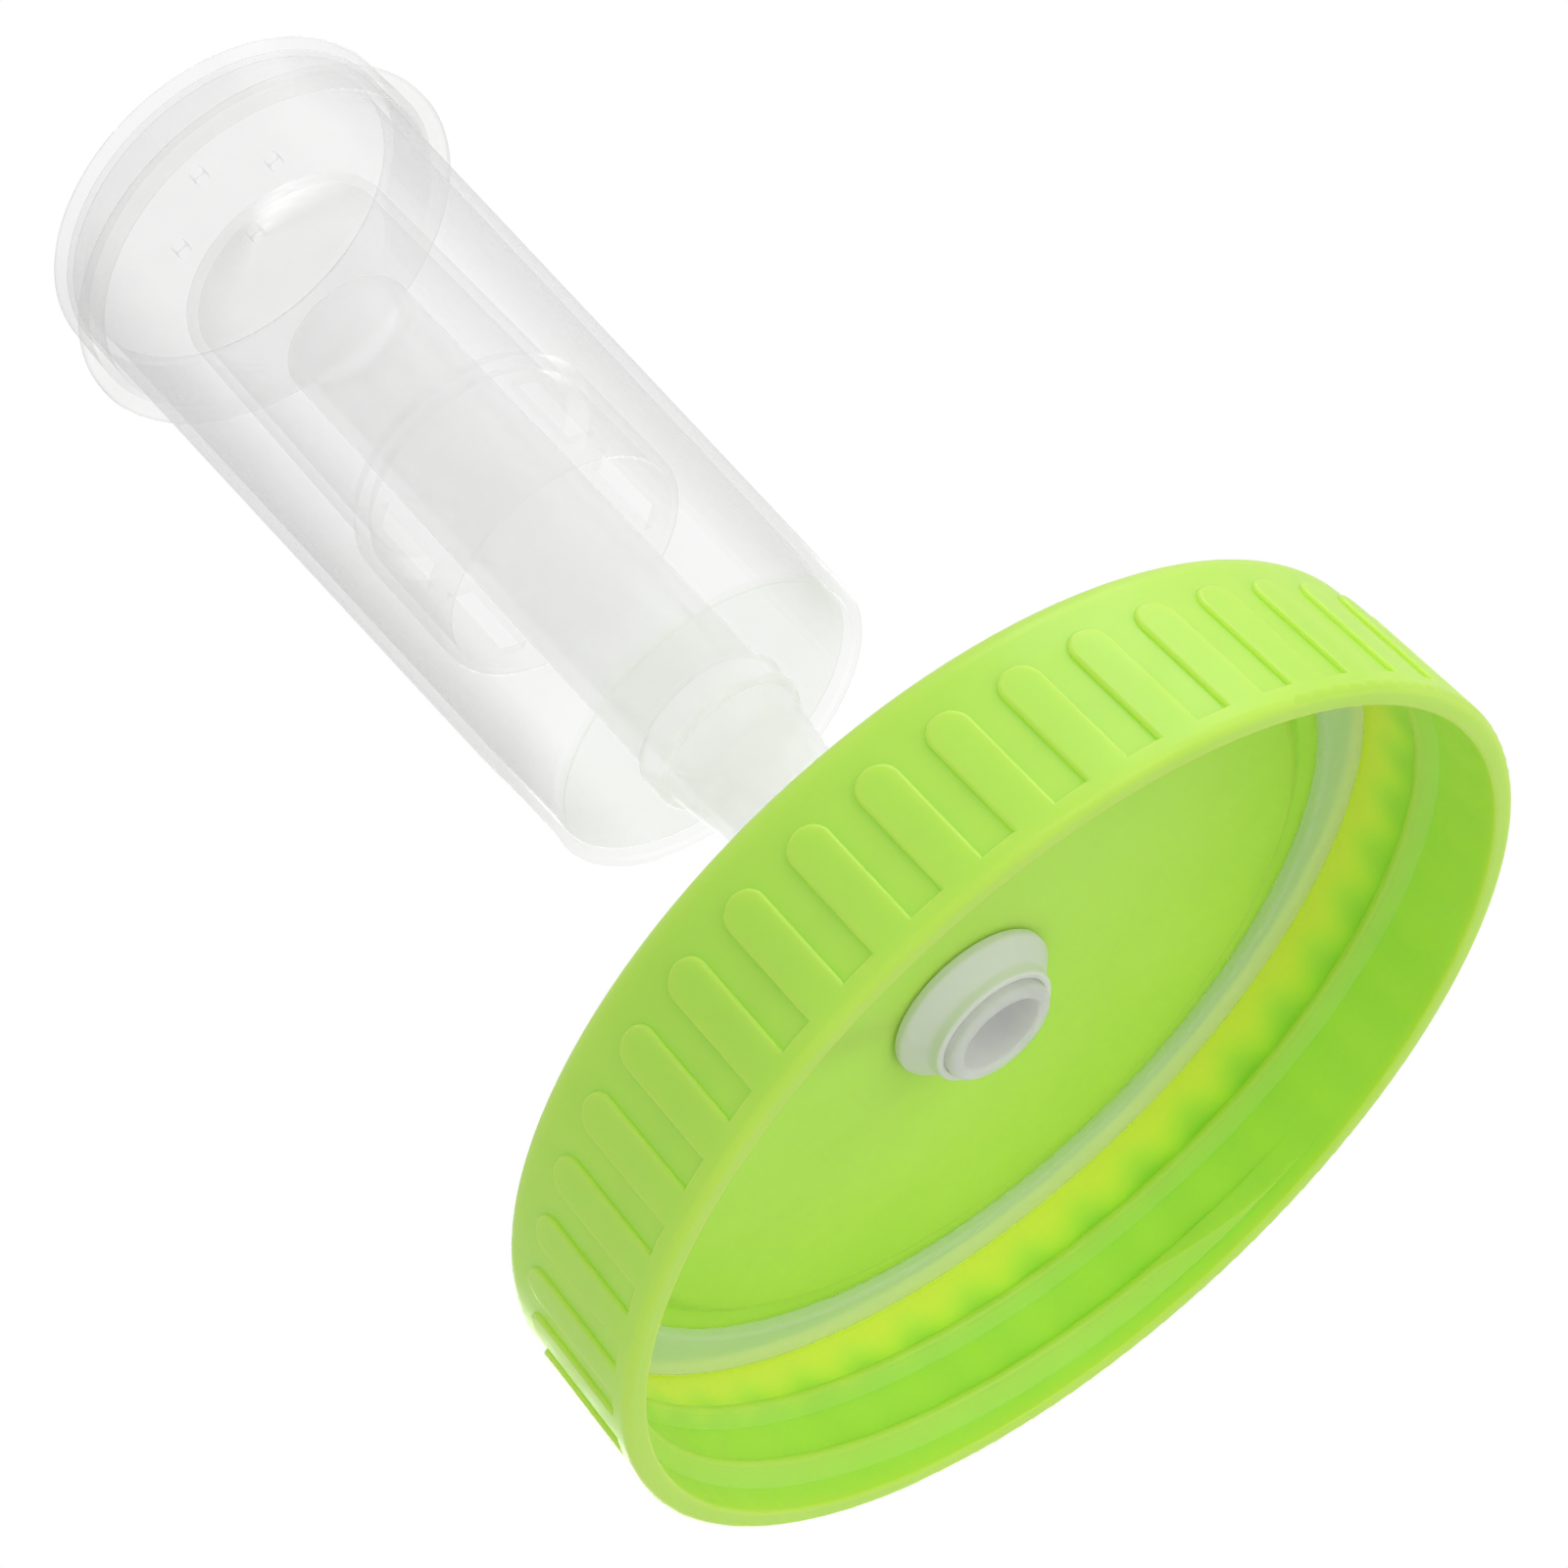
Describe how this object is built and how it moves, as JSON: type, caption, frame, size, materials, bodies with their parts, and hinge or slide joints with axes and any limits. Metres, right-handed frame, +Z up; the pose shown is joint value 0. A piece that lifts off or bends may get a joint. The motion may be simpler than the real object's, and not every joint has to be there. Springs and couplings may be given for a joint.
{
  "type": "fermentation lid with airlock",
  "caption": "Green screw lid for a wide-mouth preserving jar, with a tethered silicone stopper and a clear water airlock that lets fermentation gas out and keeps air out.",
  "frame": {"origin": "centre of the lid's rim plane, on the axis of the lid and airlock", "axes": "+Z up the airlock, -Y front, the tethered stopper lies towards -X"},
  "size_m": [0.092, 0.092, 0.1292],
  "materials": {
    "lid_plastic": "translucent green polypropylene, satin",
    "gasket_silicone": "soft milky white silicone",
    "grommet_silicone": "soft milky white silicone",
    "clear_plastic": "clear, glossy",
    "milky_plastic": "natural milky polypropylene"
  },
  "bodies": {
    "lid": {"screw_lid": "lid_plastic", "sealing_gasket": "gasket_silicone", "grommet": "grommet_silicone"},
    "stopper": {"tether_strap": "grommet_silicone", "stopper_plug": "grommet_silicone"},
    "airlock": {"airlock_cup": "clear_plastic", "riser_stem": "milky_plastic"},
    "float": {"airlock_float": "clear_plastic"},
    "cap": {"vent_cap": "clear_plastic"}
  },
  "joints": [
    {"name": "stopper_fold", "type": "hinge", "parent": "lid", "child": "stopper", "pos_m": [-0.0135, 0, 0.0183], "axis": [0, 1, 0], "range_deg": [0, 90]},
    {"name": "airlock_pull", "type": "slide", "parent": "lid", "child": "airlock", "axis": [0, 0, 1], "range_m": [0, 0.012]},
    {"name": "float_rise", "type": "slide", "parent": "airlock", "child": "float", "axis": [0, 0, 1], "range_m": [-0.011, 0.003]},
    {"name": "cap_lift", "type": "slide", "parent": "airlock", "child": "cap", "axis": [0, 0, 1], "range_m": [0, 0.012]}
  ]
}
